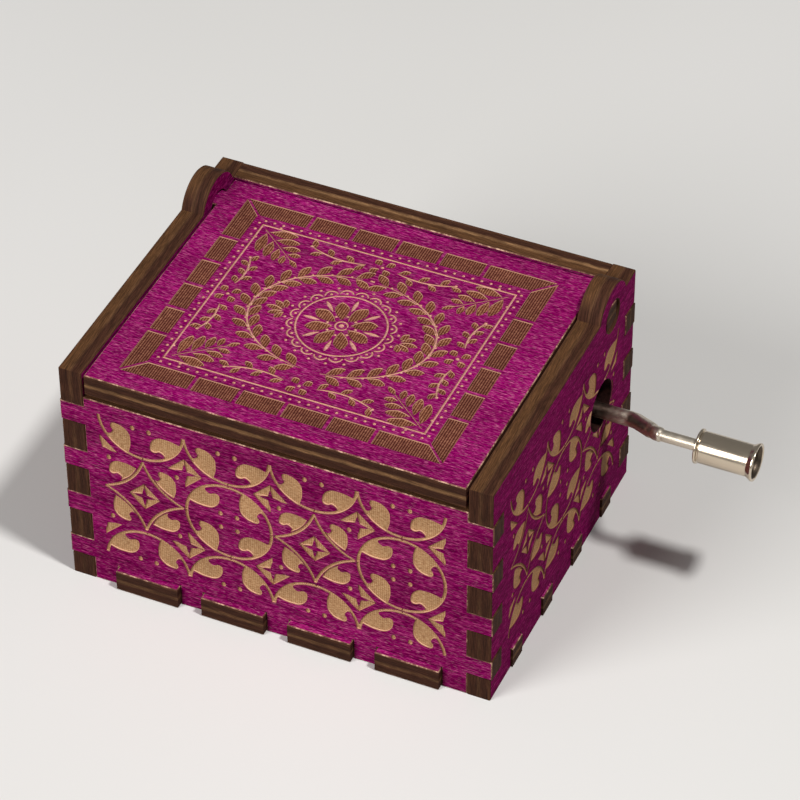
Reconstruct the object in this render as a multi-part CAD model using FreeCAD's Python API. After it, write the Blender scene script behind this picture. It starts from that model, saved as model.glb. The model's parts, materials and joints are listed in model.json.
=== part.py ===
"""Hand-crank music box: a finger-jointed plywood case with a lid that swings on two
pegs, round an 18-tooth comb movement whose pinned drum is turned by a worm on the crank.

Millimetres. X runs along the box to the crank, Y to the rear and Z up, and the origin is
the middle of the underside. The drum's axis lies along Y and the crank's along X.
"""
import FreeCAD
import Part
import math
import os

V = FreeCAD.Vector
X_AXIS = V(1, 0, 0)
Y_AXIS = V(0, 1, 0)
Z_AXIS = V(0, 0, 1)

# ---- case ----
sheet = 3.5                  # plywood thickness, every panel
box_width = 64.0             # over the two side panels
box_depth = 50.8             # over the front and back panels
side_height = 38.0           # side and back panels
front_under_lid = 0.6        # front panel's top edge below the lid
joint_gap = 0.05             # laser kerf left round each finger, tab and hole

finger_start = 3.9           # underside of the lowest finger of the front and back panels
finger_height = 3.4
finger_pitch = 8.3
finger_proud = 0.15          # how far the fingers stand out of the side panels

front_tab_width = 9.6        # bottom panel's tabs through the front and back panels
front_tab_gap = 3.67
front_tab_count = 4
front_tab_proud = 1.0
side_tab_width = 3.4         # bottom panel's tabs through the side panels
side_tab_gap = 7.6
side_tab_count = 4
side_tab_proud = 0.3

# ---- lid and its peg hinge ----
lid_sink = 0.1               # lid's top face below the side panels' top edges
lid_side_gap = 0.4
lid_rear_gap = 0.45          # lets the lid's rear edge swing down past the back panel
hinge_from_rear = 8.5        # hinge axis to the back panel's outer face
hinge_hole_r = 2.5
ear_r = 5.2                  # round ear of the side panels about the hinge hole
peg_width = 3.4
peg_short = 0.2              # peg's end inside the side panel's outer face

# ---- crank ----
crank_hole_r = 3.8
crank_hole_dy = -0.8         # the hole's centre from the crank's axis
crank_hole_dz = 1.7
shaft_r = 1.15
shaft_end_gap = 1.2          # shaft's inner end beyond the bracket
crank_first = 4.3            # straight run outside the right panel
crank_slant = 6.4            # length along X of the slanted arm
crank_throw = 9.0            # crank axis to knob axis
crank_angle = 143.0          # direction of the throw, from +Y towards +Z
crank_second = 5.9           # straight run from the arm to the knob
arm_r = 1.05                 # bent arm outside the box
bend_r = 2.6                 # centre-line radius of the two bends
run_gap = 0.05               # radial running clearance of every turning fit
press_gap = 0.02             # radial clearance of what is pressed or screwed in place
end_float = 0.15             # axial play of what turns

# ---- knob ----
knob_length = 8.7
knob_r = 2.3
knob_rim_r = 2.72
knob_rim_length = 0.5
knob_flare_length = 0.3
knob_bead_r = 2.25
knob_bead_length = 0.5
knob_groove_r = 1.85
knob_groove_length = 0.4
knob_recess_r = 2.2
knob_recess_depth = 1.3
journal_r = 0.75
rivet_r = 1.3
rivet_height = 0.5

# ---- movement: bedplate ----
bed_left_gap = 3.5           # bedplate to the left panel
bed_rear_gap = 4.05          # bedplate to the back panel
bed_front_margin = 2.85      # front edge before the front post
bed_right_margin = 1.1       # right edge beyond the bracket's foot
bed_thickness = 1.8
bed_corner_r = 3.0
seat_width = 8.0             # bridge under the comb, along X
seat_wall = 1.8
seat_roof = 2.4
seat_overhang = 1.0          # bridge beyond the comb, along Y
post_thickness = 2.2         # bearing posts, along Y
post_width = 7.0
boss_r = 2.6
boss_height = 3.0
boss_inset = 3.4             # screw centres from the bedplate's edges
mount_screw_r = 1.0
mount_head_r = 1.9
mount_head_height = 1.2
mount_head_sink = 0.2        # head above the bottom panel's underside
mount_screw_short = 0.2      # screw's end below the boss's top

# ---- movement: drum ----
drum_r = 6.5
drum_wall = 0.8
drum_length = 20.0
drum_bed_gap = 0.6           # pins' sweep to the bedplate
cap_thickness = 1.6
cap_proud = 0.3              # caps beyond the drum's ends
arbor_r = 0.9
pin_width = 0.34             # square pins
pin_height = 0.9
pin_root = 0.3               # part of a pin inside the drum's wall
pins_on_track = 3

# ---- movement: worm gear ----
wheel_teeth = 24
wheel_pitch_r = 5.3
worm_pitch_r = 2.1
wheel_face = 2.2
wheel_hub_r = 2.4
wheel_hub_length = 2.0       # hub from the wheel to the drum's cap
gear_addendum = 0.42
gear_dedendum = 0.54
wheel_tooth = 0.56           # tooth thickness on the pitch circle
worm_thread = 0.52           # thread thickness on the pitch cylinder
tooth_slope = 0.22           # half the loss of thickness per unit of height
worm_thread_length = 4.3     # threaded middle of the worm's sleeve
thread_steps = 16            # sections of the thread to each turn

# ---- movement: bracket over the worm ----
bracket_sheet = 1.2
cheek_gap = 0.8              # wheel's teeth to the cheeks
bracket_depth = 5.0
bracket_top_r = 3.3
tie_gap = 0.3                # bracket's tie to the rear post
bracket_foot = 4.6           # foot that carries the screw
small_screw_r = 0.8
small_head_r = 1.6
small_head_height = 1.0
small_screw_depth = 1.5      # thread in the bedplate

# ---- movement: comb ----
comb_teeth = 18
comb_pitch = 1.03
comb_tooth_width = 0.72
comb_thickness = 2.0
comb_from_edge = 0.6         # comb's back edge inside the bedplate's left edge
comb_length = 21.88          # back edge to tips
comb_back_bass = 9.4         # thick back at the longest tooth
comb_back_treble = 13.4      # thick back at the shortest tooth
comb_root_thickness = 0.9
comb_tip_thickness = 0.45
comb_tip_gap = 0.12          # comb's tips to the circle that the pins sweep
comb_screw_r = 1.1
comb_head_r = 2.1
comb_head_height = 1.3
comb_screw_spacing = 12.0
comb_screw_depth = 4.0
weight_teeth = 9             # teeth that carry a tuning weight, from the bass end
weight_length = 2.6
weight_from_tip = 0.7
weight_height_bass = 1.7
weight_height_step = 0.13    # each next weight is this much lower

# ---- places worked out from the sizes above ----
half_x = box_width / 2
half_y = box_depth / 2
inner_x = half_x - sheet
inner_y = half_y - sheet
lid_top = side_height - lid_sink
lid_under = lid_top - sheet
front_height = lid_under - front_under_lid
hinge_y = half_y - hinge_from_rear
hinge_z = lid_top - sheet / 2

wheel_tip_r = wheel_pitch_r + gear_addendum
wheel_root_r = wheel_pitch_r - gear_dedendum
worm_tip_r = worm_pitch_r + gear_addendum
worm_root_r = worm_pitch_r - gear_dedendum
axial_pitch = 2 * math.pi * wheel_pitch_r / wheel_teeth
lead_angle = math.atan2(axial_pitch, 2 * math.pi * worm_pitch_r)
pin_sweep_r = drum_r + pin_height

bed_z = sheet
bed_top = bed_z + bed_thickness
bed_left = -inner_x + bed_left_gap
bed_rear = inner_y - bed_rear_gap
post_rear_y = bed_rear - post_thickness
crank_y = post_rear_y - end_float - wheel_face / 2
hub_start = crank_y - wheel_face / 2 - wheel_hub_length
drum_rear = hub_start - cap_proud
drum_front = drum_rear - drum_length
post_front_y = drum_front - cap_proud - end_float - post_thickness
bed_front = post_front_y - bed_front_margin

comb_back = bed_left + comb_from_edge
comb_tip = comb_back + comb_length
comb_y = (drum_front + drum_rear) / 2
comb_span = (comb_teeth - 1) * comb_pitch
drum_x = comb_tip + comb_tip_gap + pin_sweep_r
drum_z = bed_top + drum_bed_gap + pin_sweep_r
comb_top = drum_z + comb_root_thickness / 2
comb_seat_z = comb_top - comb_thickness

crank_z = drum_z + wheel_pitch_r + worm_pitch_r
cheek_inside = wheel_tip_r + cheek_gap
cheek_outside = cheek_inside + bracket_sheet
bed_right = drum_x + cheek_outside + bracket_foot + bed_right_margin
worm_length = 2 * (cheek_inside - end_float)
shaft_end = drum_x - cheek_outside - shaft_end_gap


# ---- shapes ----
def block(x0, x1, y0, y1, z0, z1):
    return Part.makeBox(x1 - x0, y1 - y0, z1 - z0, V(x0, y0, z0))


def rod(radius, length, base, axis):
    return Part.makeCylinder(radius, length, base, axis)


def revolved(profile, base, axis, side):
    """Solid of revolution from (along, radius) points, about the axis through base."""
    points = [base + axis * along + side * radius for along, radius in profile]
    face = Part.Face(Part.makePolygon(points + points[:1]))
    return face.revolve(base, axis, 360)


def prism(outline, extent):
    """Solid swept straight from a closed outline of points."""
    return Part.Face(Part.makePolygon(outline + outline[:1])).extrude(extent)


def joined(first, others):
    return first.multiFuse(others).removeSplitter()


def screw(radius, depth, head_radius, head_height, seat, axis):
    """Round-headed screw: the head stands on its seat, and the shank runs along the axis."""
    head = rod(head_radius, head_height, seat - axis * head_height, axis)
    return head.fuse(rod(radius, depth, seat, axis))


def spread(count, size, gap):
    """Low and high end of each of several equal pieces in a row, centred on zero."""
    first = -(count * size + (count - 1) * gap) / 2
    return [(first + i * (size + gap), first + i * (size + gap) + size) for i in range(count)]


# ---- case ----
def finger_levels():
    count = int((front_height - finger_start - finger_height) / finger_pitch) + 1
    lows = [finger_start + i * finger_pitch for i in range(count)]
    return [(low, low + finger_height) for low in lows]


def upright_panel(face_sign, height):
    """Front (-1) or back (+1) panel, with its fingers and the slots for the bottom's tabs."""
    y0, y1 = sorted((face_sign * inner_y, face_sign * half_y))
    panel = block(-inner_x, inner_x, y0, y1, 0, height)
    reach = half_x + finger_proud
    fingers = [block(-reach, reach, y0, y1, low, high) for low, high in finger_levels()]
    slots = [block(low - joint_gap, high + joint_gap, y0, y1, 0, sheet + joint_gap)
             for low, high in spread(front_tab_count, front_tab_width, front_tab_gap)]
    return joined(panel, fingers).cut(slots)


def side_panel(side_sign, crank_hole):
    """Left (-1) or right (+1) panel: finger slots, tab slots, round ear and hinge hole."""
    x0, x1 = sorted((side_sign * inner_x, side_sign * half_x))
    panel = block(x0, x1, -half_y, half_y, 0, side_height)
    ear = rod(ear_r, sheet, V(x0, hinge_y, hinge_z), X_AXIS)
    cuts = [rod(hinge_hole_r, sheet, V(x0, hinge_y, hinge_z), X_AXIS)]
    for low, high in finger_levels():
        for y0, y1 in ((-half_y, -inner_y), (inner_y, half_y)):
            cuts.append(block(x0, x1, y0, y1, low - joint_gap, high + joint_gap))
    for low, high in spread(side_tab_count, side_tab_width, side_tab_gap):
        cuts.append(block(x0, x1, low - joint_gap, high + joint_gap, 0, sheet + joint_gap))
    if crank_hole:
        centre = V(x0, crank_y + crank_hole_dy, crank_z + crank_hole_dz)
        cuts.append(rod(crank_hole_r, sheet, centre, X_AXIS))
    return joined(panel, [ear]).cut(cuts)


def mount_places():
    """Centres of the two screws that hold the bedplate to the bottom panel, corner to corner."""
    return [V(bed_right - boss_inset, bed_front + boss_inset, 0),
            V(bed_left + boss_inset, bed_rear - boss_inset, 0)]


def bottom_panel():
    panel = block(-inner_x, inner_x, -inner_y, inner_y, 0, sheet)
    deep = half_y + front_tab_proud
    wide = half_x + side_tab_proud
    tabs = [block(low, high, -deep, deep, 0, sheet)
            for low, high in spread(front_tab_count, front_tab_width, front_tab_gap)]
    tabs += [block(-wide, wide, low, high, 0, sheet)
             for low, high in spread(side_tab_count, side_tab_width, side_tab_gap)]
    holes = []
    for place in mount_places():
        holes.append(rod(mount_screw_r + joint_gap, sheet, place, Z_AXIS))
        holes.append(rod(mount_head_r + joint_gap, mount_head_sink + mount_head_height, place,
                         Z_AXIS))
    return joined(panel, tabs).cut(holes)


def lid_panel():
    """Lid with the square peg that each side panel's round hinge hole carries."""
    reach = inner_x - lid_side_gap
    lid = block(-reach, reach, -half_y, inner_y - lid_rear_gap, lid_under, lid_top)
    peg_reach = half_x - peg_short
    pegs = block(-peg_reach, peg_reach, hinge_y - peg_width / 2, hinge_y + peg_width / 2,
                 lid_under, lid_top)
    return joined(lid, [pegs])


# ---- movement: what stands still ----
def post(y0):
    """Bearing post with a round head about the arbor."""
    upright = block(drum_x - post_width / 2, drum_x + post_width / 2, y0, y0 + post_thickness,
                    bed_z, drum_z)
    head = rod(post_width / 2, post_thickness, V(drum_x, y0, drum_z), Y_AXIS)
    return upright.fuse(head)


def comb_seat():
    """Bridge that lifts the comb to the height of the drum's axis."""
    y0 = comb_y - comb_span / 2 - seat_overhang
    y1 = comb_y + comb_span / 2 + seat_overhang
    bridge = block(comb_back, comb_back + seat_width, y0, y1, bed_z, comb_seat_z)
    tunnel = block(comb_back + seat_wall, comb_back + seat_width - seat_wall, y0, y1,
                   bed_top, comb_seat_z - seat_roof)
    return bridge.cut(tunnel)


def comb_screw_places():
    x = comb_back + seat_width / 2
    return [V(x, comb_y + side * comb_screw_spacing / 2, comb_top) for side in (-1, 1)]


def bracket_screw_place():
    """Seat of the screw in the bracket's foot, which points to the crank."""
    return V(drum_x + cheek_outside + bracket_foot / 2, crank_y, bed_top + bracket_sheet)


def bedplate():
    plate = block(bed_left, bed_right, bed_front, bed_rear, bed_z, bed_top)
    corners = [edge for edge in plate.Edges if edge.tangentAt(edge.FirstParameter).z != 0]
    plate = plate.makeFillet(bed_corner_r, corners)
    boss_length = bed_thickness + boss_height
    bosses = [rod(boss_r, boss_length, place + Z_AXIS * bed_z, Z_AXIS) for place in mount_places()]
    casting = joined(plate, bosses + [post(post_front_y), post(post_rear_y), comb_seat()])
    holes = [rod(mount_screw_r + press_gap, boss_length, place + Z_AXIS * bed_z, Z_AXIS)
             for place in mount_places()]
    holes += [rod(comb_screw_r + press_gap, comb_screw_depth, place, -Z_AXIS)
              for place in comb_screw_places()]
    holes.append(rod(small_screw_r + press_gap, small_screw_depth + bracket_sheet,
                     bracket_screw_place(), -Z_AXIS))
    holes.append(rod(arbor_r + run_gap, box_depth, V(drum_x, -half_y, drum_z), Y_AXIS))
    return casting.cut(holes)


def mounting_screws():
    head_top = mount_head_sink + mount_head_height
    depth = bed_top + boss_height - head_top - mount_screw_short
    return [screw(mount_screw_r, depth, mount_head_r, mount_head_height,
                  place + Z_AXIS * head_top, Z_AXIS) for place in mount_places()]


def tooth_root(index):
    """X of a tooth's root: the comb's teeth shorten evenly from bass to treble."""
    share = index / (comb_teeth - 1)
    return comb_back + comb_back_bass + (comb_back_treble - comb_back_bass) * share


def tooth_y(index):
    """Middle of a tooth. The bass end is at the front."""
    return comb_y - comb_span / 2 + index * comb_pitch


def comb_tooth(index):
    """One tooth, thinned from its root to its tip on the underside."""
    root = tooth_root(index)
    buried = root - comb_pitch
    y0 = tooth_y(index) - comb_tooth_width / 2
    top = comb_top
    outline = [V(buried, y0, top), V(comb_tip, y0, top), V(comb_tip, y0, top - comb_tip_thickness),
               V(root, y0, top - comb_root_thickness), V(buried, y0, top - comb_root_thickness)]
    return prism(outline, Y_AXIS * comb_tooth_width)


def comb():
    """Hardened comb: a thick back with a slanted front edge, and its row of teeth."""
    y0 = comb_y - comb_span / 2 - comb_pitch / 2
    y1 = comb_y + comb_span / 2 + comb_pitch / 2
    outline = [V(comb_back, y0, comb_seat_z), V(tooth_root(0), y0, comb_seat_z),
               V(tooth_root(comb_teeth - 1), y1, comb_seat_z), V(comb_back, y1, comb_seat_z)]
    back = prism(outline, Z_AXIS * comb_thickness)
    seat_edge = comb_back + seat_width
    under = block(seat_edge, comb_tip, y0, y1, comb_seat_z, comb_top - comb_root_thickness)
    teeth = [comb_tooth(i) for i in range(comb_teeth)]
    holes = [rod(comb_screw_r + joint_gap, comb_thickness, place, -Z_AXIS)
             for place in comb_screw_places()]
    return joined(back.cut(under), teeth).cut(holes)


def comb_weights():
    """Tuning weights soldered under the bass teeth, lower towards the treble."""
    top = comb_top - comb_root_thickness
    x1 = comb_tip - weight_from_tip
    weights = []
    for i in range(weight_teeth):
        height = weight_height_bass - i * weight_height_step
        y0 = tooth_y(i) - comb_tooth_width / 2
        weights.append(block(x1 - weight_length, x1, y0, y0 + comb_tooth_width, top - height, top))
    return weights


def comb_screws():
    depth = comb_screw_depth - joint_gap
    return [screw(comb_screw_r, depth, comb_head_r, comb_head_height, place, -Z_AXIS)
            for place in comb_screw_places()]


def worm_bracket():
    """Bent strip: a cheek with a round head each side of the worm, a tie, and a foot."""
    y0 = crank_y - bracket_depth / 2
    y1 = crank_y + bracket_depth / 2
    top = bed_top + bracket_sheet
    foot_x = drum_x + cheek_inside
    pieces = [block(foot_x, foot_x + bracket_sheet + bracket_foot, y0, y1, bed_top, top)]
    for side in (-1, 1):
        near, far = sorted((drum_x + side * cheek_inside, drum_x + side * cheek_outside))
        pieces.append(block(near, far, y0, y1, bed_top, crank_z))
        pieces.append(rod(bracket_top_r, bracket_sheet, V(near, crank_y, crank_z), X_AXIS))
    tie = block(drum_x - cheek_inside, foot_x, y0, post_rear_y - tie_gap, bed_top, top)
    holes = [rod(shaft_r + run_gap, box_width, V(shaft_end, crank_y, crank_z), X_AXIS),
             rod(small_screw_r + joint_gap, bracket_sheet, bracket_screw_place(), -Z_AXIS)]
    return joined(tie, pieces).cut(holes)


def bracket_screw():
    depth = small_screw_depth + bracket_sheet - joint_gap
    return screw(small_screw_r, depth, small_head_r, small_head_height, bracket_screw_place(),
                 -Z_AXIS)


# ---- movement: what turns with the drum ----
def pin(track_y, angle):
    """Square pin that stands on the drum at an angle about its axis."""
    foot = Part.makeBox(pin_width, pin_width, pin_root + pin_height,
                        V(-pin_width / 2, -pin_width / 2, drum_r - pin_root))
    foot.rotate(V(0, 0, 0), Y_AXIS, angle)
    foot.translate(V(drum_x, track_y, drum_z))
    return foot


def pinned_drum():
    """Brass tube with one track of pins to each tooth, in running figures round the drum."""
    base = V(drum_x, drum_front, drum_z)
    golden_turn = (3 - math.sqrt(5)) / 2
    pins = []
    for track in range(comb_teeth):
        for note in range(pins_on_track):
            turn = track * golden_turn + note / pins_on_track
            pins.append(pin(tooth_y(track), 360 * turn))
    drum = rod(drum_r, drum_length, base, Y_AXIS).multiFuse(pins)
    return drum.cut(rod(drum_r - drum_wall, drum_length, base, Y_AXIS))


def drum_cap(end_y, outward):
    """Disc pressed in the drum's end, which carries it on the arbor."""
    outer_face = V(drum_x, end_y, drum_z) + outward * cap_proud
    disc = rod(drum_r - drum_wall - press_gap, cap_thickness, outer_face, -outward)
    return disc.cut(rod(arbor_r + press_gap, cap_thickness, outer_face, -outward))


def arbor():
    return rod(arbor_r, bed_rear - post_front_y, V(drum_x, post_front_y, drum_z), Y_AXIS)


def wheel_outline(y, twist):
    """Closed outline of the toothed wheel in the plane at y, turned by twist radians."""
    half_tip = (wheel_tooth / 2 - tooth_slope * gear_addendum) / wheel_tip_r
    half_root = (wheel_tooth / 2 + tooth_slope * gear_dedendum) / wheel_root_r
    points = []
    for tooth in range(wheel_teeth):
        middle = math.pi / 2 + twist + 2 * math.pi * tooth / wheel_teeth
        for radius, offset in ((wheel_root_r, -half_root), (wheel_tip_r, -half_tip),
                               (wheel_tip_r, half_tip), (wheel_root_r, half_root)):
            angle = middle + offset
            points.append(V(drum_x + radius * math.cos(angle), y,
                            drum_z + radius * math.sin(angle)))
    return Part.makePolygon(points + points[:1])


def worm_wheel():
    """Wheel whose teeth lean at the worm's lead angle, with a hub on the arbor."""
    half_face = wheel_face / 2
    twist = half_face * math.tan(lead_angle) / wheel_pitch_r
    front = wheel_outline(crank_y - half_face, twist)
    rear = wheel_outline(crank_y + half_face, -twist)
    rim = Part.makeLoft([front, rear], True, True)
    start = V(drum_x, hub_start, drum_z)
    hub = rod(wheel_hub_r, wheel_hub_length, start, Y_AXIS)
    bore = rod(arbor_r + press_gap, wheel_hub_length + wheel_face, start, Y_AXIS)
    return rim.fuse(hub).cut(bore)


# ---- movement: what turns with the crank ----
def thread_section(advance):
    """Trapezoid across the right-hand thread where it has advanced this far from the
    drum's middle. Below the worm's axis a gap of the thread meets the wheel's top tooth."""
    angle = 2 * math.pi * (advance / axial_pitch - 0.5) - math.pi / 2
    inside_r = (worm_root_r + shaft_r) / 2
    half_tip = worm_thread / 2 - tooth_slope * gear_addendum
    half_inside = worm_thread / 2 + tooth_slope * (worm_pitch_r - inside_r)
    outward = V(0, math.cos(angle), math.sin(angle))
    middle = V(drum_x + advance, crank_y, crank_z)
    points = [middle + outward * radius + X_AXIS * offset
              for radius, offset in ((inside_r, -half_inside), (worm_tip_r, -half_tip),
                                     (worm_tip_r, half_tip), (inside_r, half_inside))]
    return Part.makePolygon(points + points[:1])


def worm():
    """Single-start worm: a thread lofted along its helix, on a sleeve."""
    steps = math.ceil(worm_thread_length / axial_pitch * thread_steps)
    sections = [thread_section(worm_thread_length * (i / steps - 0.5)) for i in range(steps + 1)]
    thread = Part.makeLoft(sections, True, True)
    start = V(drum_x - worm_length / 2, crank_y, crank_z)
    sleeve = rod(worm_root_r, worm_length, start, X_AXIS)
    return sleeve.fuse(thread).cut(rod(shaft_r + press_gap, worm_length, start, X_AXIS))


def crank_side():
    """Unit vector from the crank's axis to the knob's axis."""
    angle = math.radians(crank_angle)
    return V(0, math.cos(angle), math.sin(angle))


def bent_path(points):
    """Wire of straight runs through the points, joined by tangent arcs."""
    edges = []
    last = points[0]
    for before, corner, after in zip(points, points[1:], points[2:]):
        arriving = (corner - before).normalize()
        leaving = (after - corner).normalize()
        turn = arriving.getAngle(leaving)
        reach = bend_r * math.tan(turn / 2)
        enter, leave = corner - arriving * reach, corner + leaving * reach
        inward = (leaving - arriving).normalize()
        middle = corner + inward * bend_r * (1 / math.cos(turn / 2) - 1)
        edges.append(Part.LineSegment(last, enter).toShape())
        edges.append(Part.Arc(enter, middle, leave).toShape())
        last = leave
    edges.append(Part.LineSegment(last, points[-1]).toShape())
    return Part.Wire(edges)


def crank_rod():
    """Rod with the straight shaft inside the box, the cranked arm and the knob's journal."""
    outside = V(half_x, crank_y, crank_z)
    first_bend = outside + X_AXIS * crank_first
    second_bend = first_bend + X_AXIS * crank_slant + crank_side() * crank_throw
    path = bent_path([outside, first_bend, second_bend, knob_place()])
    arm = path.makePipe(Part.Face(Part.Wire(Part.makeCircle(arm_r, outside, X_AXIS))))
    shaft = rod(shaft_r, half_x - shaft_end, V(shaft_end, crank_y, crank_z), X_AXIS)
    web_end = knob_length - knob_recess_depth + end_float
    journal = rod(journal_r, web_end, knob_place(), X_AXIS)
    rivet = rod(rivet_r, rivet_height, knob_place() + X_AXIS * web_end, X_AXIS)
    return shaft.multiFuse([arm, journal, rivet])


def knob_place():
    reach = half_x + crank_first + crank_slant + crank_second
    return V(reach, crank_y, crank_z) + crank_side() * crank_throw


def crank_knob():
    """Turned sleeve with a bead and groove at its inner end and a flared rim outside."""
    bore = journal_r + run_gap
    inner = end_float / 2
    groove = knob_bead_length + knob_groove_length
    rim = knob_length - knob_rim_length
    flare = rim - knob_flare_length
    floor = knob_length - knob_recess_depth
    profile = [(inner, bore), (inner, knob_bead_r), (knob_bead_length, knob_bead_r),
               (knob_bead_length, knob_groove_r), (groove, knob_groove_r), (groove, knob_r),
               (flare, knob_r), (rim, knob_rim_r), (knob_length, knob_rim_r),
               (knob_length, knob_recess_r), (floor, knob_recess_r), (floor, bore)]
    return revolved(profile, knob_place(), X_AXIS, Y_AXIS)


def parts():
    return {
        "bottom_panel": bottom_panel(),
        "front_panel": upright_panel(-1, front_height),
        "back_panel": upright_panel(1, side_height),
        "left_panel": side_panel(-1, False),
        "right_panel": side_panel(1, True),
        "lid_panel": lid_panel(),
        "bedplate": bedplate(),
        "mounting_screws": Part.makeCompound(mounting_screws()),
        "comb": comb(),
        "comb_weights": Part.makeCompound(comb_weights()),
        "comb_screws": Part.makeCompound(comb_screws()),
        "worm_bracket": worm_bracket(),
        "bracket_screw": bracket_screw(),
        "pinned_drum": pinned_drum(),
        "drum_cap_front": drum_cap(drum_front, -Y_AXIS),
        "drum_cap_rear": drum_cap(drum_rear, Y_AXIS),
        "drum_arbor": arbor(),
        "worm_wheel": worm_wheel(),
        "crank_rod": crank_rod(),
        "crank_worm": worm(),
        "crank_knob": crank_knob(),
    }


os.makedirs("parts", exist_ok=True)
for name, shape in parts().items():
    shape.exportStep("parts/" + name + ".step")
    box = shape.BoundBox
    print(f"{name:20s} solids {len(shape.Solids)}  volume {shape.Volume:9.2f}  valid {shape.isValid()}"
          f"  z {box.ZMin:.2f}..{box.ZMax:.2f}")
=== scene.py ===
"""Looks of the hand-crank music box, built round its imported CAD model.

Places are in the frame's metres. The engraving is drawn in millimetres on each panel's own
flat, as (u, v) points: u to the right and v up as that face is seen from outside.
"""
import json
import math

import bmesh
import bpy
from mathutils import Matrix, Vector
from mathutils.geometry import delaunay_2d_cdt


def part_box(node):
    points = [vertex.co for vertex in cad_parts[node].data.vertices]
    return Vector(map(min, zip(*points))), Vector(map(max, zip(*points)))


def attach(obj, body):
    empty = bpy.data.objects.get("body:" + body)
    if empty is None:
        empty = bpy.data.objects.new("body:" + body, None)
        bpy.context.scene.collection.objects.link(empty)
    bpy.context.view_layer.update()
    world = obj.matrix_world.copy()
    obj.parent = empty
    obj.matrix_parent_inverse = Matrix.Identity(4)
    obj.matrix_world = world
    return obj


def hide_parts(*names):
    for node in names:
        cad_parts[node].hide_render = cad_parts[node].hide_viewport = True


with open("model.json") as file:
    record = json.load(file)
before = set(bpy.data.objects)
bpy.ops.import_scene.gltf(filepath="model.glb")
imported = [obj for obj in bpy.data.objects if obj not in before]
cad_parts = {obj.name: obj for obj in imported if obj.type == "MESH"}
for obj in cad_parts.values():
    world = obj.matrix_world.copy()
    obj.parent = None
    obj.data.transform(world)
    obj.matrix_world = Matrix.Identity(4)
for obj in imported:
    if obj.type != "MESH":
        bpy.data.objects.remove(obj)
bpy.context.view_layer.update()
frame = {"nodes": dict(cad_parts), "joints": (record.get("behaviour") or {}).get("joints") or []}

MM = 0.001
WELD = 0.002 * MM            # vertices nearer than this are one
FLAT = math.radians(0.5)     # faces that turn less than this are one plane
CREASE = math.radians(32)    # edges that turn more than this stay sharp
SQUARE_ON = 0.99             # cosine above which a face looks along an axis
SAME_POINT = 1e-5            # outline points nearer than this are one, mm

# ---- the panels ----
ARRIS = 0.13                 # scorched chamfer along every cut edge, mm
FACE, FLOOR, LEAF, LINE, WALL, EDGE, RIM, BORE = range(8)    # material slots of a panel
FRONT_CUT = (0.2, 0.1)       # the engraving's depth, and how far its walls slope in, mm
SIDE_CUT = (0.18, 0.1)
LID_CUT = (0.13, 0.06)
HOLE_MARGIN = 0.15           # plain wood left round a hole through the engraving, mm
FINGER_BARE = 0.2            # paleness of the core ply in the fingers' ends, by the top's
CRANK_HOLE_REACH = 5.5       # everything cut this near the crank's axis is its hole, mm
WALL_SHARE = 0.36            # of a narrow place's width, the most that one wall takes
SCROLL_HATCH, LID_HATCH = 0.3, 0.36          # pitch of the laser's hatch lines, mm

# ---- the scroll lattice on the upright panels, mm ----
FRONT_CENTRE = (-0.55, 18.68)                # of the front's and the back's
SIDE_CENTRE = (0.1, 19.1)    # of the right panel's, and mirrored of the left one's
PITCH_U = 12.9
PITCH_V = 13.45
RING_R = 6.43
RING_WIDTH = 0.5
TOP_OPEN, FOOT_OPEN = 4.5, 6.5               # where the outer rows' rings end short, degrees
DOT_OFFSET = 1.25
DOT_RADII = (0.36, 0.46)
DIAMOND_HALF = (2.4, 2.36)   # of the small diamonds on the middle row
LOOSE_HALF = (2.65, 2.6)     # of those between the rows
STAR_REACH = 1.6
STAR_WAIST = 0.34
STAR_ARM = (1.15, 0.17)      # a point on the side of the plain star's arm
HOLLOW_HALF = (6.05, 6.4)    # the hollow diamond's reach from its middle
HOLLOW_BOW = 1.1             # how far its sides bend inwards
HOLLOW_LEAF = 0.89           # size of the leaves outside it
LEAF_TURN = 70.0             # where a leaf springs from its ring, degrees from each axis
# Leaf outline: degrees back from where it springs, and radius from the ring's centre.
LEAF_SIDE = ((-1, 6.3), (0, 5.0), (5, 3.9), (13, 3.2), (26, 2.95), (39, 3.1), (47, 3.5),
             (52, 4.1))
LEAF_HOOK = ((52, 4.1), (53, 4.6), (49.5, 4.98), (44, 5.1), (38.5, 5.1), (35.5, 5.5), (35, 6.0),
             (39, 6.35))

# ---- the lid's border and picture, mm ----
LID_CENTRE_U = FRONT_CENTRE[0]
BORDER_SIZE = (47.8, 40.7)
BORDER_WIDTH = 2.95
BLOCK_GAP = 0.5
MITRE_GAP = 0.3
BLOCKS = 4                   # along each side between the corners
BLOCK_PITCH = (6.67, 5.6)    # along the long and the short sides
DOT_ROW_SIZE = (40.1, 33.2)
DOT_ROW_PITCH = 1.4
DOT_ROW_R = 0.24
LINE_FRAME_SIZE = (38.7, 31.4)
LINE_WIDTH = 0.3
LAUREL_HALF = (13.5, 10.3)
SPRIG_INSET = 0.8            # of a sprig's foot from the frame's corner
SPRIG_LENGTH = 9.6
SPRIG_PAIRS = ((0.6, 4.6), (2.6, 3.9), (4.5, 3.1), (6.2, 2.3))   # place and length of leaves
# Garlands of the first quarter: start and end, how far they bend, and length of their leaves.
GARLANDS = (((2.4, 13.4), (11.0, 14.1), -0.8, 2.0), ((17.4, 2.4), (17.9, 8.4), 0.6, 1.8))
FLORET_REACH = (17.3, 13.7)
FAN_REACH = 8.3

# ---- the crank, mm ----
ROD_FIRST = 4.9              # from the panel to the first bend
ROD_SLANT = 5.8              # from there to the second, along X
ROD_BEND_R = 2.2
ROD_STEP = 0.12              # longest stretch of the rod's mesh
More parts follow.
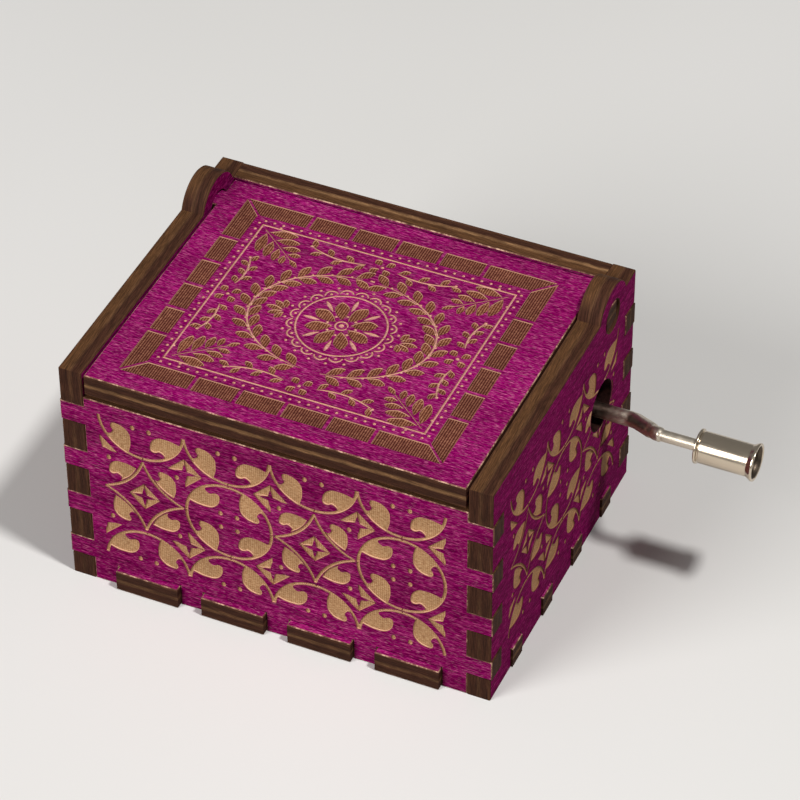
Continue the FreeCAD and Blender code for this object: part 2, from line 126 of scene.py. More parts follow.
# Profiles are places along X with their radii. The rod's are counted from its second bend:
# it is thick, pinched, swollen over the bend and thin.
ROD_PROFILE = ((-1.6, 1.13), (-0.9, 0.92), (-0.3, 1.04), (0.4, 1.02), (0.85, 0.84))
JOURNAL_R = 0.75
RIVET_HEAD = ((0, 1.25), (0.16, 1.22), (0.34, 0.98), (0.45, 0.6), (0.5, 0))
KNOB_R, KNOB_BORE = 2.3, 0.8
# Bead, groove and body from the knob's inner end; flare, lip and recess back from its outer end.
KNOB_NEAR = ((0, 2.5), (0.4, 2.5), (0.4, 2.1), (0.65, 2.1), (0.65, KNOB_R))
KNOB_FAR = ((1.0, KNOB_R), (0.3, 2.72), (0, 2.72), (0, 2.4), (0.6, 2.05), (1.3, 2.0))
KNOB_ROUNDING = 0.16
CORNER_SHARE = 0.45          # of a side, the most that one rounded corner takes
RECESS_SHADE_START = 0.05            # how far under the recess's floor its painted shade starts


# ---- colour and materials ----
WAVE_PERIOD = math.pi / 10      # of the wave texture at scale 1


def srgb(red, green, blue):
    """Linear colour for a display colour given from 0 to 255."""
    def linear(value):
        share = value / 255
        return share / 12.92 if share <= 0.04045 else ((share + 0.055) / 1.055) ** 2.4
    return (linear(red), linear(green), linear(blue), 1.0)


def add_node(tree, kind, inputs=None, **settings):
    """Shader node with its settings, and its inputs as values or linked sockets."""
    made = tree.nodes.new("ShaderNode" + kind)
    for name, value in settings.items():
        setattr(made, name, value)
    for name, value in (inputs or {}).items():
        if isinstance(value, bpy.types.NodeSocket):
            tree.links.new(value, made.inputs[name])
        else:
            made.inputs[name].default_value = value
    return made


class Paint:
    """A material in the making. Scales of its textures are per metre, along x, y and z."""

    def __init__(self, name, roughness, metallic=0.0, specular=0.5):
        self.material = bpy.data.materials.new(name)
        self.material.use_nodes = True
        self.tree = self.material.node_tree
        self.shader = self.tree.nodes["Principled BSDF"]
        for socket, value in (("Roughness", roughness), ("Metallic", metallic),
                              ("Specular IOR Level", specular)):
            self.shader.inputs[socket].default_value = value

    def node(self, kind, inputs=None, **settings):
        return add_node(self.tree, kind, inputs, **settings)

    def place(self, scale, shift=None):
        """The row frame's coordinates, scaled, with a socket's value added to each."""
        where = self.node("TexCoord").outputs["Object"]
        scaled = self.node("Mapping", {"Vector": where, "Scale": scale}).outputs[0]
        if shift is None:
            return scaled
        return self.node("VectorMath", {0: scaled, 1: shift}, operation="ADD").outputs[0]

    def noise(self, scale, detail=3.0, roughness=0.55, shift=None):
        inputs = {"Vector": self.place(scale, shift), "Scale": 1.0, "Detail": detail,
                  "Roughness": roughness}
        return self.node("TexNoise", inputs).outputs["Fac"]

    def ramp(self, value, stops):
        made = self.node("ValToRGB", {"Fac": value})
        elements = made.color_ramp.elements
        while len(elements) < len(stops):
            elements.new(0.5)
        for element, (position, colour) in zip(elements, stops):
            element.position = position
            element.color = colour
        return made.outputs["Color"]

    def mix(self, share, first, second, blend="MIX"):
        inputs = {0: share, 6: first, 7: second}
        return self.node("Mix", inputs, data_type="RGBA", blend_type=blend).outputs[2]

    def calculate(self, operation, *values):
        return self.node("Math", dict(enumerate(values)), operation=operation).outputs[0]

    def measure(self, name):
        """A number that the mesh holds at its vertices."""
        return self.node("Attribute", attribute_name=name).outputs["Fac"]

    def feed(self, name, socket):
        self.tree.links.new(socket, self.shader.inputs[name])

    def colour(self, socket):
        self.feed("Base Color", socket)

    def bump(self, height, distance):
        made = self.node("Bump", {"Height": height, "Distance": distance, "Strength": 1.0})
        self.feed("Normal", made.outputs[0])


def grey(level):
    return (level, level, level, 1.0)


def along_axis(axis, along, across):
    """Texture scale that is fine across the grain and drawn out along one axis."""
    return tuple(along if i == axis else across for i in range(3))


def stained_face(axis, light_tone, dark_tone):
    """Ply face under thin magenta stain, with its fibres along one axis."""
    paint = Paint("stained_face_" + "xyz"[axis], 0.7, specular=0.02)
    fibres = paint.noise(along_axis(axis, 700, 6200), 3.0, 0.7)
    streaks = paint.noise(along_axis(axis, 110, 3300), 3.0, 0.6)
    flecks = paint.noise(along_axis(axis, 1200, 8000), 2.0, 0.5)
    cloudy = paint.noise(along_axis(axis, 45, 150))
    stain = paint.ramp(fibres, [(0.33, srgb(88, 0, 56)), (0.46, srgb(128, 0, 84)),
                                (0.54, srgb(144, 4, 96)), (0.68, srgb(186, 66, 130))])
    light = paint.ramp(flecks, [(0.55, srgb(0, 0, 0)), (0.7, srgb(138, 100, 106))])
    stain = paint.mix(1.0, stain, light, "ADD")
    bands = paint.ramp(streaks, [(0.36, grey(0.72)), (0.5, grey(0.98)), (0.64, grey(1.2))])
    stain = paint.mix(1.0, stain, bands, "MULTIPLY")
    drift = paint.ramp(cloudy, [(0.32, dark_tone), (0.68, light_tone)])
    paint.colour(paint.mix(1.0, stain, drift, "MULTIPLY"))
    paint.bump(fibres, 0.012 * MM)
    return paint.material


def engraved_floor(name, pitch, hatch_share, groove, *tones):
    """Bare wood at the bottom of the engraving, with the laser's close hatch lines. Its
    colours are those of the grooves and of the wood's dark, middle and light fibres."""
    paint = Paint(name, 0.65, specular=0.1)
    fibres = paint.noise(along_axis(0, 1800, 5200), 4.0, 0.7)
    cloudy = paint.noise((160, 160, 160), 2.0)
    waves = {"Vector": paint.place((1 / MM,) * 3), "Scale": WAVE_PERIOD / pitch,
             "Distortion": 0.4, "Detail": 1.0}
    hatch = paint.node("TexWave", waves, wave_type="BANDS", bands_direction="X").outputs["Fac"]
    wood = paint.ramp(fibres, [(at, srgb(*tone)) for at, tone in zip((0.3, 0.5, 0.7), tones)])
    lines = paint.ramp(hatch, [(0.2, srgb(*groove)), (0.65, grey(1.0))])
    wood = paint.mix(hatch_share, wood, lines, "MULTIPLY")
    drift = paint.ramp(cloudy, [(0.3, grey(0.82)), (0.7, grey(1.06))])
    paint.colour(paint.mix(1.0, wood, drift, "MULTIPLY"))
    paint.bump(hatch, 0.02 * MM)
    return paint.material


def engraved_wall(name, *tones):
    """Side of the engraving: stained or scorched at its top, barer wood at its foot."""
    paint = Paint(name, 0.6, specular=0.1)
    char = paint.noise((1500, 1500, 1500))
    uneven = paint.calculate("MULTIPLY_ADD", char, 0.4, paint.measure("sunk"))
    stops = [(at, srgb(*tone)) for at, tone in zip((0.25, 0.55, 1.0), tones)]
    paint.colour(paint.ramp(uneven, stops))
    return paint.material


def burnt_edge():
    """Laser-cut edge of the plywood: burnt brown, painted paler where it faces up as a painted
    highlight, with the core ply pale along its middle. The panel says how bare its core ply is."""
    paint = Paint("burnt_edge", 0.7, specular=0.08)
    ply = paint.measure("ply")
    wander = paint.noise((300, 300, 300), 4.0, 0.7)
    wavy = paint.calculate("MULTIPLY_ADD", wander, 0.16, ply)
    across = paint.calculate("MULTIPLY", ply, 14.0)
    streaks = paint.noise((480, 480, 480), 5.0, 0.78, shift=across)
    patches = paint.noise((170, 170, 170), 3.0, 0.6)
    burnt = paint.ramp(wavy, [(0.08, srgb(84, 55, 38)), (0.2, srgb(64, 38, 27)),
                              (0.9, srgb(62, 37, 27)), (1.04, srgb(78, 50, 35))])
    core = paint.ramp(wavy, [(0.45, grey(0.0)), (0.55, grey(1.0)), (0.62, grey(0.7)),
                             (0.7, grey(0.0))])
    kept = paint.ramp(patches, [(0.36, grey(0.3)), (0.56, grey(1.0))])
    share = paint.calculate("MULTIPLY", core, kept)
    share = paint.calculate("MULTIPLY", share, paint.measure("bare"))
    facing = paint.node("TexCoord").outputs["Normal"]
    upward = paint.node("SeparateXYZ", {"Vector": facing}).outputs["Z"]
    upward = paint.ramp(upward, [(0.6, grey(0.0)), (0.9, grey(1.0))])
    painted_top_light = paint.ramp(wavy, [(0.1, grey(0.05)), (0.22, grey(0.36)), (0.5, grey(0.3)),
                               (0.64, grey(0.0)), (1.0, grey(0.06))])
    # Edges that face up are painted paler: a painted highlight, as from light falling from above.
    burnt = paint.mix(paint.calculate("MULTIPLY", painted_top_light, upward), burnt, srgb(122, 86, 50))
    plies = paint.mix(share, burnt, srgb(144, 108, 74))
    shade = paint.ramp(streaks, [(0.36, grey(0.45)), (0.5, grey(0.95)), (0.64, grey(1.7))])
    paint.colour(paint.mix(1.0, plies, shade, "MULTIPLY"))
    paint.bump(streaks, 0.06 * MM)
    return paint.material


def burnt_shaded_bore():
    """Wall of a deep round hole, burnt by the beam and painted near black with painted shade."""
    paint = Paint("burnt_shaded_bore", 0.8, specular=0.05)
    soot = paint.noise((1200, 1200, 1200), 3.0, 0.6)
    paint.colour(paint.ramp(soot, [(0.35, srgb(24, 12, 12)), (0.65, srgb(52, 30, 26))]))
    return paint.material


def scorched_rim():
    """Thin line where the beam entered the sheet, pale in places and burnt in others."""
    paint = Paint("scorched_rim", 0.6, specular=0.1)
    char = paint.noise((800, 800, 800), 5.0, 0.75)
    paint.colour(paint.ramp(char, [(0.4, srgb(84, 52, 42)), (0.52, srgb(140, 98, 80)),
                                   (0.62, srgb(214, 172, 146))]))
    return paint.material


def metal(name, tone, roughness, grain_axis=None, wear=0.06, marked=True, shaded_span=None):
    """Metal with uneven gloss, and faint turning or rolling marks where it is marked.
    Given a shaded span along X, in mm, painted shade goes from dark at its first place to none at
    its second."""
    paint = Paint(name, roughness, 1.0)
    scale = (1500,) * 3 if grain_axis is None else along_axis(grain_axis, 300, 6000)
    marks = paint.noise(scale)
    cloudy = paint.noise((140, 140, 140))
    light = srgb(*tone)
    shade = [channel * (1 - 2 * wear) for channel in light[:3]] + [1.0]
    colour = paint.ramp(cloudy, [(0.3, shade), (0.7, light)])
    # Painted shade and painted reflection: darker and redder towards the first place of the span.
    if shaded_span:
        along = paint.node("SeparateXYZ", {"Vector": paint.place((1 / MM,) * 3)}).outputs["X"]
        out_of_shade = paint.node("MapRange", {"Value": along, "From Min": shaded_span[0],
                                        "From Max": shaded_span[1]}).outputs[0]
        painted_shade = paint.ramp(out_of_shade, [(0.0, srgb(158, 138, 134)), (1.0, grey(1.0))])
        colour = paint.mix(1.0, colour, painted_shade, "MULTIPLY")
    paint.colour(colour)
    gloss = paint.ramp(marks, [(0.3, grey(roughness * 0.75)), (0.7, grey(roughness * 1.3))])
    paint.feed("Roughness", gloss)
    if marked:
        paint.bump(marks, 0.004 * MM)
    return paint.material


def floor_paint():
    """Pale to the eye and in the metal, but throws little light back at the object."""
    paint = Paint("studio_floor", 0.9, specular=0.0)
    mottle = paint.noise((6, 6, 6), 2.0)
    pale = paint.ramp(mottle, [(0.3, srgb(224, 222, 218)), (0.7, srgb(230, 228, 225))])
    path = paint.node("LightPath").outputs
    seen = paint.calculate("MAXIMUM", path["Is Camera Ray"], path["Is Glossy Ray"])
    seen = paint.calculate("MAXIMUM", seen, path["Is Transmission Ray"])
    paint.colour(paint.mix(seen, srgb(150, 140, 130), pale))
    return paint.material


STAINED = [stained_face(0, grey(1.1), srgb(222, 194, 216)),
           stained_face(1, srgb(234, 164, 230), srgb(220, 136, 216))]
SCROLL_FLOOR = engraved_floor("engraved_scroll", SCROLL_HATCH, 0.4, (190, 164, 134),
                              (158, 114, 78), (208, 162, 118), (240, 202, 156))
LID_FLOOR = engraved_floor("engraved_lid", LID_HATCH, 1.0, (140, 84, 90),
                           (96, 52, 42), (132, 82, 64), (176, 124, 96))
LEAF_FLOOR = engraved_floor("engraved_leaf", LID_HATCH, 1.0, (160, 110, 104),
                            (98, 56, 42), (146, 94, 70), (200, 146, 110))
LINE_FLOOR = engraved_floor("engraved_line", LID_HATCH, 0.3, (230, 220, 220),
                            (172, 112, 100), (212, 154, 138), (236, 190, 174))
BURNT_EDGE = burnt_edge()
# Near-black wall of the crank's hole: burnt wood with painted shade.
BURNT_SHADED_BORE = burnt_shaded_bore()
# Material of the engraving's walls, and of the line round a panel's cut edges: a pale pair for
# the front, back and lid, and a darker pair for the side panels, burnt wood with painted light
# and painted shade.
LIT_FACE_CUTS = (engraved_wall("pale_wall", (84, 28, 46), (168, 116, 90), (224, 178, 146)),
             scorched_rim())
SHADED_SIDE_CUTS = (engraved_wall("burnt_shaded_wall", (70, 18, 40), (112, 62, 48), (176, 130, 94)),
             BURNT_EDGE)
KNOB_METAL = metal("turned_nickel", (208, 193, 172), 0.2, 0, wear=0.03)
# Darker nickel for the inside of the knob's recess: painted shade.
RECESS_SHADE_METAL = metal("shaded_nickel", (98, 86, 74), 0.4, 0, wear=0.1)
# The rod is painted darker in and just out of the panel's hole: painted shade.
ROD_METAL = metal("bent_nickel", (214, 202, 184), 0.38, wear=0.03, marked=False,
                  shaded_span=(32.5, 35.5))


# ---- outlines of the engraving ----
def circle(steps):
    """Cosine and sine of evenly spaced angles round a full turn."""
    angles = [2 * math.pi * i / steps for i in range(steps)]
    return [(math.cos(angle), math.sin(angle)) for angle in angles]


def polar(u, v, degrees, radius):
    angle = math.radians(degrees)
    return (u + radius * math.cos(angle), v + radius * math.sin(angle))


def heading(start, end):
    """Direction from one point to another, in degrees."""
    return math.degrees(math.atan2(end[1] - start[1], end[0] - start[0]))


def curve_through(points, steps=5):
    """Catmull-Rom curve through the points, from the first to the last."""
    ends = [points[0]] + list(points) + [points[-1]]
    drawn = []
    for a, b, c, d in zip(ends, ends[1:], ends[2:], ends[3:]):
        for step in range(steps):
            t = step / steps
            drawn.append(tuple(
                0.5 * (2 * q + (r - p) * t + (2 * p - 5 * q + 4 * r - s) * t * t
                       + (3 * q - p - 3 * r + s) * t ** 3)
                for p, q, r, s in zip(a, b, c, d)))
    return drawn + [points[-1]]


def stroke(points, width, taper=0.0):
    """Band of a given width along a curve, narrowed towards both ends by taper."""
    left, right = [], []
    last = len(points) - 1
    for i, (u, v) in enumerate(points):
        u0, v0 = points[max(i - 1, 0)]
        u1, v1 = points[min(i + 1, last)]
        length = math.hypot(u1 - u0, v1 - v0)
        across_u, across_v = (v0 - v1) / length, (u1 - u0) / length
        half = width / 2 * (1 - taper * (2 * i / last - 1) ** 4)
        left.append((u + across_u * half, v + across_v * half))
        right.append((u - across_u * half, v - across_v * half))
    return left + right[::-1]


def arc(u, v, radius, start, end, step=5.0):
    count = max(2, math.ceil(abs(end - start) / step))
    return [polar(u, v, start + (end - start) * i / count, radius) for i in range(count + 1)]


def dot(u, v, radii, steps=10):
    return [(u + radii[0] * cosine, v + radii[1] * sine) for cosine, sine in circle(steps)]


def petal(u, v, degrees, start, end, half_width, fullest=0.6):
    """Pointed petal along a ray from (u, v), fullest at a share of its length."""
    tip, root = polar(u, v, degrees, end), polar(u, v, degrees, start)
    side_turn = math.radians(degrees + 90)
    across = (math.cos(side_turn), math.sin(side_turn))
    outline = []
    for sign in (1, -1):
        side = []
        for share, width in ((0, 0), (0.25, 0.62), (fullest, 1), (0.88, 0.55), (1, 0)):
            at = [r + (t - r) * share for r, t in zip(root, tip)]
            side.append(tuple(a + c * sign * half_width * width for a, c in zip(at, across)))
        drawn = curve_through(side, 3)
        outline += drawn[:-1] if sign > 0 else drawn[::-1][:-1]
    return outline


def bow(start, end, sag):
    """Arc from start to end, bent by sag to its left, or to its right where sag is negative."""
    chord = Vector(end) - Vector(start)
    half, depth, side = chord.length / 2, abs(sag), math.copysign(1, sag)
    radius = (half * half + depth * depth) / (2 * depth)
    to_bend = Vector((-chord.y, chord.x)).normalized() * side
    middle = (Vector(start) + Vector(end)) / 2 + to_bend * (depth - radius)
    first = heading(middle, start)
    turn = math.degrees(2 * math.asin(half / radius)) * side
    return arc(*middle, radius, first, first - turn, 4)


def leaf(u, v, turn, size=1.0):
    """Hooked leaf that springs from a ring and curls back to it."""
    def placed(anchors):
        return [polar(u, v, turn - back, radius * size) for back, radius in anchors]
    ring = arc(u, v, RING_R * size, turn - LEAF_HOOK[-1][0], turn - LEAF_SIDE[0][0])
    return curve_through(placed(LEAF_SIDE)) + curve_through(placed(LEAF_HOOK))[1:] + ring


def ring_quarter(u, v, quarter, open_end=0.0):
    """A quarter of a ring with its leaf and dot. An open end stops short of the u axis."""
    start, end = 90 * quarter, 90 * (quarter + 1)
    flat_end = open_end if quarter % 2 == 0 else 0.0
    high_end = open_end - flat_end
    curve = arc(u, v, RING_R, start + flat_end, end - high_end)
    sign_u, sign_v = quarter_signs(quarter)
    return [leaf(u, v, start + LEAF_TURN), stroke(curve, RING_WIDTH),
            dot(u + sign_u * DOT_OFFSET, v + sign_v * DOT_OFFSET, DOT_RADII)]


def hollow_side(u, v, quarter):
    """One side of the hollow diamond that this quarter faces, with its leaf and dot."""
    sign_u, sign_v = quarter_signs(quarter)
    middle_u, middle_v = u + sign_u * PITCH_U / 2, v + sign_v * PITCH_V / 2
    ends = [(middle_u - sign_u * HOLLOW_HALF[0], middle_v),
            (middle_u, middle_v - sign_v * HOLLOW_HALF[1])]
    if sign_u * sign_v < 0:
        ends.reverse()
    return [leaf(u, v, 90 * quarter + LEAF_TURN, HOLLOW_LEAF),
            stroke(bow(*ends, HOLLOW_BOW), RING_WIDTH, 0.3),
            dot(u + sign_u * DOT_OFFSET, v + sign_v * DOT_OFFSET, DOT_RADII)]


def quarter_signs(quarter):
    return (1, -1, -1, 1)[quarter], (1, 1, -1, -1)[quarter]


def diamond_quarter(u, v, quarter, half=DIAMOND_HALF):
    """A quarter of a small diamond, less its quarter of the plain star inside."""
    sign_u, sign_v = quarter_signs(quarter)
    points = [(STAR_REACH, 0), (half[0], 0), (0, half[1]), (0, STAR_REACH), STAR_ARM[::-1],
              (STAR_WAIST, STAR_WAIST), STAR_ARM]
    return [[(u + sign_u * a, v + sign_v * b) for a, b in points]]


def scroll_lattice(columns, centre_u, centre_v):
    """Rings of leaves in rows, with a hollow diamond in every other place of the middle row.
    Half-way between the rings stand small diamonds, and the quarter of each that faces a
    hollow diamond gives way to a leaf and a dot."""
    cuts = []
    for column in range(columns):
        u = centre_u + (column - (columns - 1) / 2) * PITCH_U
        for quarter in (2, 3):
            cuts += ring_quarter(u, centre_v + PITCH_V, quarter, TOP_OPEN)
        for quarter in (0, 1):
            cuts += ring_quarter(u, centre_v - PITCH_V, quarter, FOOT_OPEN)
        middle = diamond_quarter if column % 2 == 0 else ring_quarter
        for quarter in range(4):
            cuts += middle(u, centre_v, quarter)
    for between in range(columns + 1):
        u = centre_u + (between - columns / 2) * PITCH_U
        for row_sign in (1, -1):
            v = centre_v + row_sign * PITCH_V / 2
            for quarter in range(4):
                sign_u, sign_v = quarter_signs(quarter)
                column = between if sign_u > 0 else between - 1
                if not 0 <= column < columns:
                    continue
                if sign_v != row_sign and column % 2 == 0:
                    cuts += hollow_side(u, v, quarter)
                else:
                    cuts += diamond_quarter(u, v, quarter, LOOSE_HALF)
    return cuts


def thin_frame(centre_u, centre_v):
    """Four strokes that make a rectangle."""
    half_u, half_v, over = LINE_FRAME_SIZE[0] / 2, LINE_FRAME_SIZE[1] / 2, LINE_WIDTH / 2
    sides = []
    for sign in (1, -1):
        u, v = centre_u + sign * half_u, centre_v + sign * half_v
        sides += [[(centre_u - half_u - over, v), (centre_u + half_u + over, v)],
                  [(u, centre_v - half_v + over), (u, centre_v + half_v - over)]]
    return [line(side, 0) for side in sides]


def border_side(length, block_pitch):
    """One side of the border along u, its outer edge on v = 0: blocks between mitred corners."""
    half = length / 2
    edges = [(i - BLOCKS / 2) * block_pitch for i in range(BLOCKS + 1)]
    cuts = []
    for low, high in zip(edges, edges[1:]):
        cuts.append([(low + BLOCK_GAP / 2, 0), (high - BLOCK_GAP / 2, 0),
                     (high - BLOCK_GAP / 2, -BORDER_WIDTH), (low + BLOCK_GAP / 2, -BORDER_WIDTH)])
    mitre = MITRE_GAP * math.sqrt(0.5)
    for sign in (1, -1):
        inner = edges[-1] + BLOCK_GAP / 2
        corner = [(inner, 0), (half - mitre, 0), (half - mitre - BORDER_WIDTH, -BORDER_WIDTH),
                  (inner, -BORDER_WIDTH)]
        cuts.append([(sign * u, v) for u, v in corner])
    return cuts


def lid_border(centre_u, centre_v):
    """Blocks round the lid, and inside them a row of dots and a thin frame."""
    blocks, lines = [], []
    size_u, size_v = BORDER_SIZE
    for turn in range(4):
        length, out = (size_u, size_v / 2) if turn % 2 == 0 else (size_v, size_u / 2)
        angle = math.pi / 2 * turn
        cosine, sine = round(math.cos(angle)), round(math.sin(angle))
        for cut in border_side(length, BLOCK_PITCH[turn % 2]):
            blocks.append([(centre_u + u * cosine - (v + out) * sine,
                            centre_v + u * sine + (v + out) * cosine) for u, v in cut])
    for along, across, swap in ((*DOT_ROW_SIZE, False), (*DOT_ROW_SIZE[::-1], True)):
        count = round(along / DOT_ROW_PITCH)
        for i in range(count):
            a = (i + 0.5) * along / count - along / 2
            for b in (-across / 2, across / 2):
                u, v = (b, a) if swap else (a, b)
                lines.append(dot(centre_u + u, centre_v + v, (DOT_ROW_R, DOT_ROW_R), 8))
    return blocks, lines + thin_frame(centre_u, centre_v)


def bead(u, v, radius=0.24):
    return dot(u, v, (radius, radius), 8)


def line(points, taper=0.3):
    return stroke(points, LINE_WIDTH, taper)


def flower(u, v):
    """Eight broad petals with slim ones between, inside a ring edged with lace."""
    leaves, lines = [], []
    for i in range(8):
        turn = 45 * i + 22.5
        leaves.append(petal(u, v, turn, 1.2, 5.1, half_width=1.05, fullest=0.62))
        lines += [petal(u, v, turn + 22.5, 3.1, 5.8, half_width=0.3),
                  bead(*polar(u, v, turn + 22.5, 2.1))]
    lines += [bead(u, v, 0.42), line(arc(u, v, 0.88, 0, 350, 15)),
              line(arc(u, v, 6.35, 0, 359, 4), 0)]
    scallops = 20
    for i in range(scallops):
        turn = 360 / scallops * i
        middle = polar(u, v, turn, 6.65)
        lines += [line(arc(*middle, 0.95, turn - 80, turn + 80, 16)),
                  bead(*polar(u, v, turn, 6.95)), bead(*polar(u, v, turn + 180 / scallops, 8.1))]
    return leaves, lines


def laurel(u, v, half_u, half_v):
    """Two branches of paired leaves that rise round an oval from its foot."""
    leaves, lines = [], []
    pairs = 14
    for side in (1, -1):
        def on_oval(degrees):
            angle = math.radians(degrees)
            return (u + side * half_u * math.cos(angle), v + half_v * math.sin(angle))
        lines.append(line([on_oval(-84 + 168 * i / 48) for i in range(49)], 0.6))
        for i in range(pairs):
            degrees = -81 + 160 * i / (pairs - 1)
            root, ahead = on_oval(degrees), on_oval(degrees + 4)
            turn = heading(root, ahead)
            for lean in (36, -36):
                leaves.append(petal(*root, turn + lean, 0.2, 3.1, 0.72, 0.55))
            lines.append(bead(*polar(*ahead, turn, 1.5), 0.22))
    return leaves, lines


def sprig(u, v, turn):
    """A stem with leaves in pairs that get smaller towards its tip."""
    stem = [(u, v), polar(u, v, turn, SPRIG_LENGTH - 1.4)]
    leaves, lines = [], [line(stem, 0.5)]
    for i, (far, leaf_length) in enumerate(SPRIG_PAIRS):
        root = polar(u, v, turn, far)
        for lean in (46, -46):
            leaves.append(petal(*root, turn + lean, 0.3, leaf_length, 0.84 - 0.1 * i, 0.55))
            lines.append(bead(*polar(*root, turn + lean * 1.85, 2.0 - 0.25 * i)))
    leaves.append(petal(u, v, turn, SPRIG_LENGTH - 2.0, SPRIG_LENGTH, 0.45, 0.5))
    return leaves, lines


def garland(start, end, sag, size):
    """A bent stem with leaves to both sides in turn, and a berry at its end."""
    stem = bow(start, end, sag)
    leaves = []
    for i, (root, ahead) in enumerate(zip(stem[::2], stem[1::2])):
        lean = 42 if i % 2 == 0 else -42
        leaves.append(petal(*root, heading(root, ahead) + lean, 0.15, size, 0.5, 0.55))
    return leaves, [line(stem, 0.5), bead(*end, 0.26)]


def floret(u, v):
    leaves = [petal(u, v, 90 * i + 45, 0.5, 2.0, 0.6) for i in range(4)]
    return leaves, [bead(u, v, 0.28)]


def lid_picture(u, v):
    """Flower in a laurel wreath, with a sprig in each corner and garlands between them."""
    leaves, lines = flower(u, v)

    def add(shapes):
        leaves.extend(shapes[0])
        lines.extend(shapes[1])

    add(laurel(u, v, *LAUREL_HALF))
    half_u, half_v = (size / 2 - SPRIG_INSET for size in LINE_FRAME_SIZE)
    for side_u in (1, -1):
        for side_v in (1, -1):
            corner = (u + side_u * half_u, v + side_v * half_v)
            add(sprig(*corner, heading(corner, (u, v))))
            for *ends, sag, size in GARLANDS:
                start, end = [(u + side_u * a, v + side_v * b) for a, b in ends]
                add(garland(start, end, sag * side_u * side_v, size))
        add(floret(u + side_u * FLORET_REACH[0], v))
        add(floret(u, v + side_u * FLORET_REACH[1]))
        for lean in (-64, -32, 0, 32, 64):
            turn = lean if side_u > 0 else 180 - lean
            leaves.append(petal(u + side_u * FAN_REACH, v, turn, 0.5, 3.1 - abs(lean) / 80, 0.5))
    return leaves, lines


# ---- the panels' meshes ----
def plain_mesh(bm, name, materials):
    """Ends a bmesh as a mesh with its materials, free of the imported corner normals."""
    mesh = bpy.data.meshes.new(name)
    bm.to_mesh(mesh)
    bm.free()
    if "custom_normal" in mesh.attributes:
        mesh.attributes.remove(mesh.attributes["custom_normal"])
    for material in materials:
        mesh.materials.append(material)
    return mesh


def welded(node):
    """The node's solid as one closed mesh, with each flat face whole."""
    bm = bmesh.new()
    bm.from_mesh(frame["nodes"][node].data)
    bmesh.ops.remove_doubles(bm, verts=bm.verts, dist=WELD)
    bmesh.ops.dissolve_limit(bm, angle_limit=FLAT, verts=bm.verts, edges=bm.edges)
    return bm


def chamfer_cut_edges(bm, axis):
    """Narrow chamfer where the panel's faces meet its cut edges."""
    rims = [edge for edge in bm.edges
            if sum(abs(face.normal[axis]) > SQUARE_ON for face in edge.link_faces) == 1]
    for face in bm.faces:
        face.material_index = FACE if abs(face.normal[axis]) > SQUARE_ON else EDGE
    bmesh.ops.bevel(bm, geom=rims, offset=ARRIS * MM, offset_type="OFFSET", segments=1,
                    profile=0.5, affect="EDGES", material=RIM, clamp_overlap=True)


def loops_of(edges):
    """Closed loops of vertices that edges make, in an order that depends only on their places."""
    def place(vert):
        return tuple(vert.co)
    edges = sorted(edges, key=lambda edge: sorted(map(place, edge.verts)))
    beside = {}
    for edge in edges:
        for vert in edge.verts:
            beside.setdefault(vert, []).append(edge)
    loops, used = [], set()
    for edge in edges:
        if edge in used:
            continue
        loop, vert = [], min(edge.verts, key=place)
        while edge not in used:
            used.add(edge)
            loop.append(vert)
            vert = edge.other_vert(vert)
            edge = next((e for e in beside[vert] if e not in used), edge)
        loops.append(loop)
    return loops


def signed_area(points):
    return sum(a[0] * b[1] - b[0] * a[1] for a, b in zip(points, points[1:] + points[:1])) / 2


def room_inside(corner, onward, edges):
    """Width of an outline at one of its corners, measured to the edges that run back past it."""
    room = math.inf
    for start, along in edges:
        if along.dot(onward) < 0:
            share = min(max((corner - start).dot(along) / along.length_squared, 0), 1)
            room = min(room, (start + along * share - corner).length)
    return room


def inset(ring, distance):
    """Anticlockwise outline moved inwards, by less where it is narrow."""
    corners = [Vector(point) for point in ring]
    edges = [(start, end - start) for start, end in zip(corners, corners[1:] + corners[:1])]
    moved = []
    for i, corner in enumerate(corners):
        arriving, leaving = edges[i - 1][1].normalized(), edges[i][1].normalized()
        onward = arriving + leaving
        if onward.length < 0.1:      # the tip of a spike
            moved.append(corner - arriving * distance)
            continue
        others = (edges[i + 1:] + edges[:i])[:-1]
        reach = min(distance, WALL_SHARE * room_inside(corner, onward, others))
        inward = Vector((-onward.y, onward.x)).normalized()
        moved.append(corner + inward * reach)
    return moved


def open_outer_face(bm, outward):
    """Takes out the panel's outermost face. Gives its height and the loops round the gap."""
    outer = max(vert.co.dot(outward) for vert in bm.verts)
    skin = [face for face in bm.faces if face.normal.dot(outward) > SQUARE_ON
            and abs(face.calc_center_median().dot(outward) - outer) < WELD]
    loops = loops_of([edge for edge in bm.edges
                      if sum(face in skin for face in edge.link_faces) == 1])
    bmesh.ops.delete(bm, geom=skin, context="FACES")
    return outer, loops


def outlines_of_cuts(rims, layers, slope):
    """Anticlockwise outlines that divide the outer face, each with what lies inside it."""
    panel_rim = max(rims, key=signed_area)
    outlines = [("panel" if rim is panel_rim else "hole", rim) for rim in rims]
    for rim in rims:
        if rim is not panel_rim:
            middle = [sum(values) / len(rim) for values in zip(*rim)]
            radius = max(math.dist(middle, point) for point in rim) + HOLE_MARGIN
            outlines.append(("kept", arc(*middle, radius, 0, 360, 6)[:-1]))
    for floor, shapes in layers:
        for ring in shapes:
            ring = ring if signed_area(ring) > 0 else ring[::-1]
            bottom = inset(ring, slope)
            outlines.append((WALL, ring))
            if signed_area(bottom) > 0:
                outlines.append((floor, bottom))
    return outlines


def kind_of(inside):
    """Material of a triangle by all that it lies inside, or None where there is no wood."""
    if "panel" not in inside or "hole" in inside:
        return None
    if "kept" in inside:
        return FACE
    return next((kind for kind in (FLOOR, LEAF, LINE, WALL) if kind in inside), FACE)


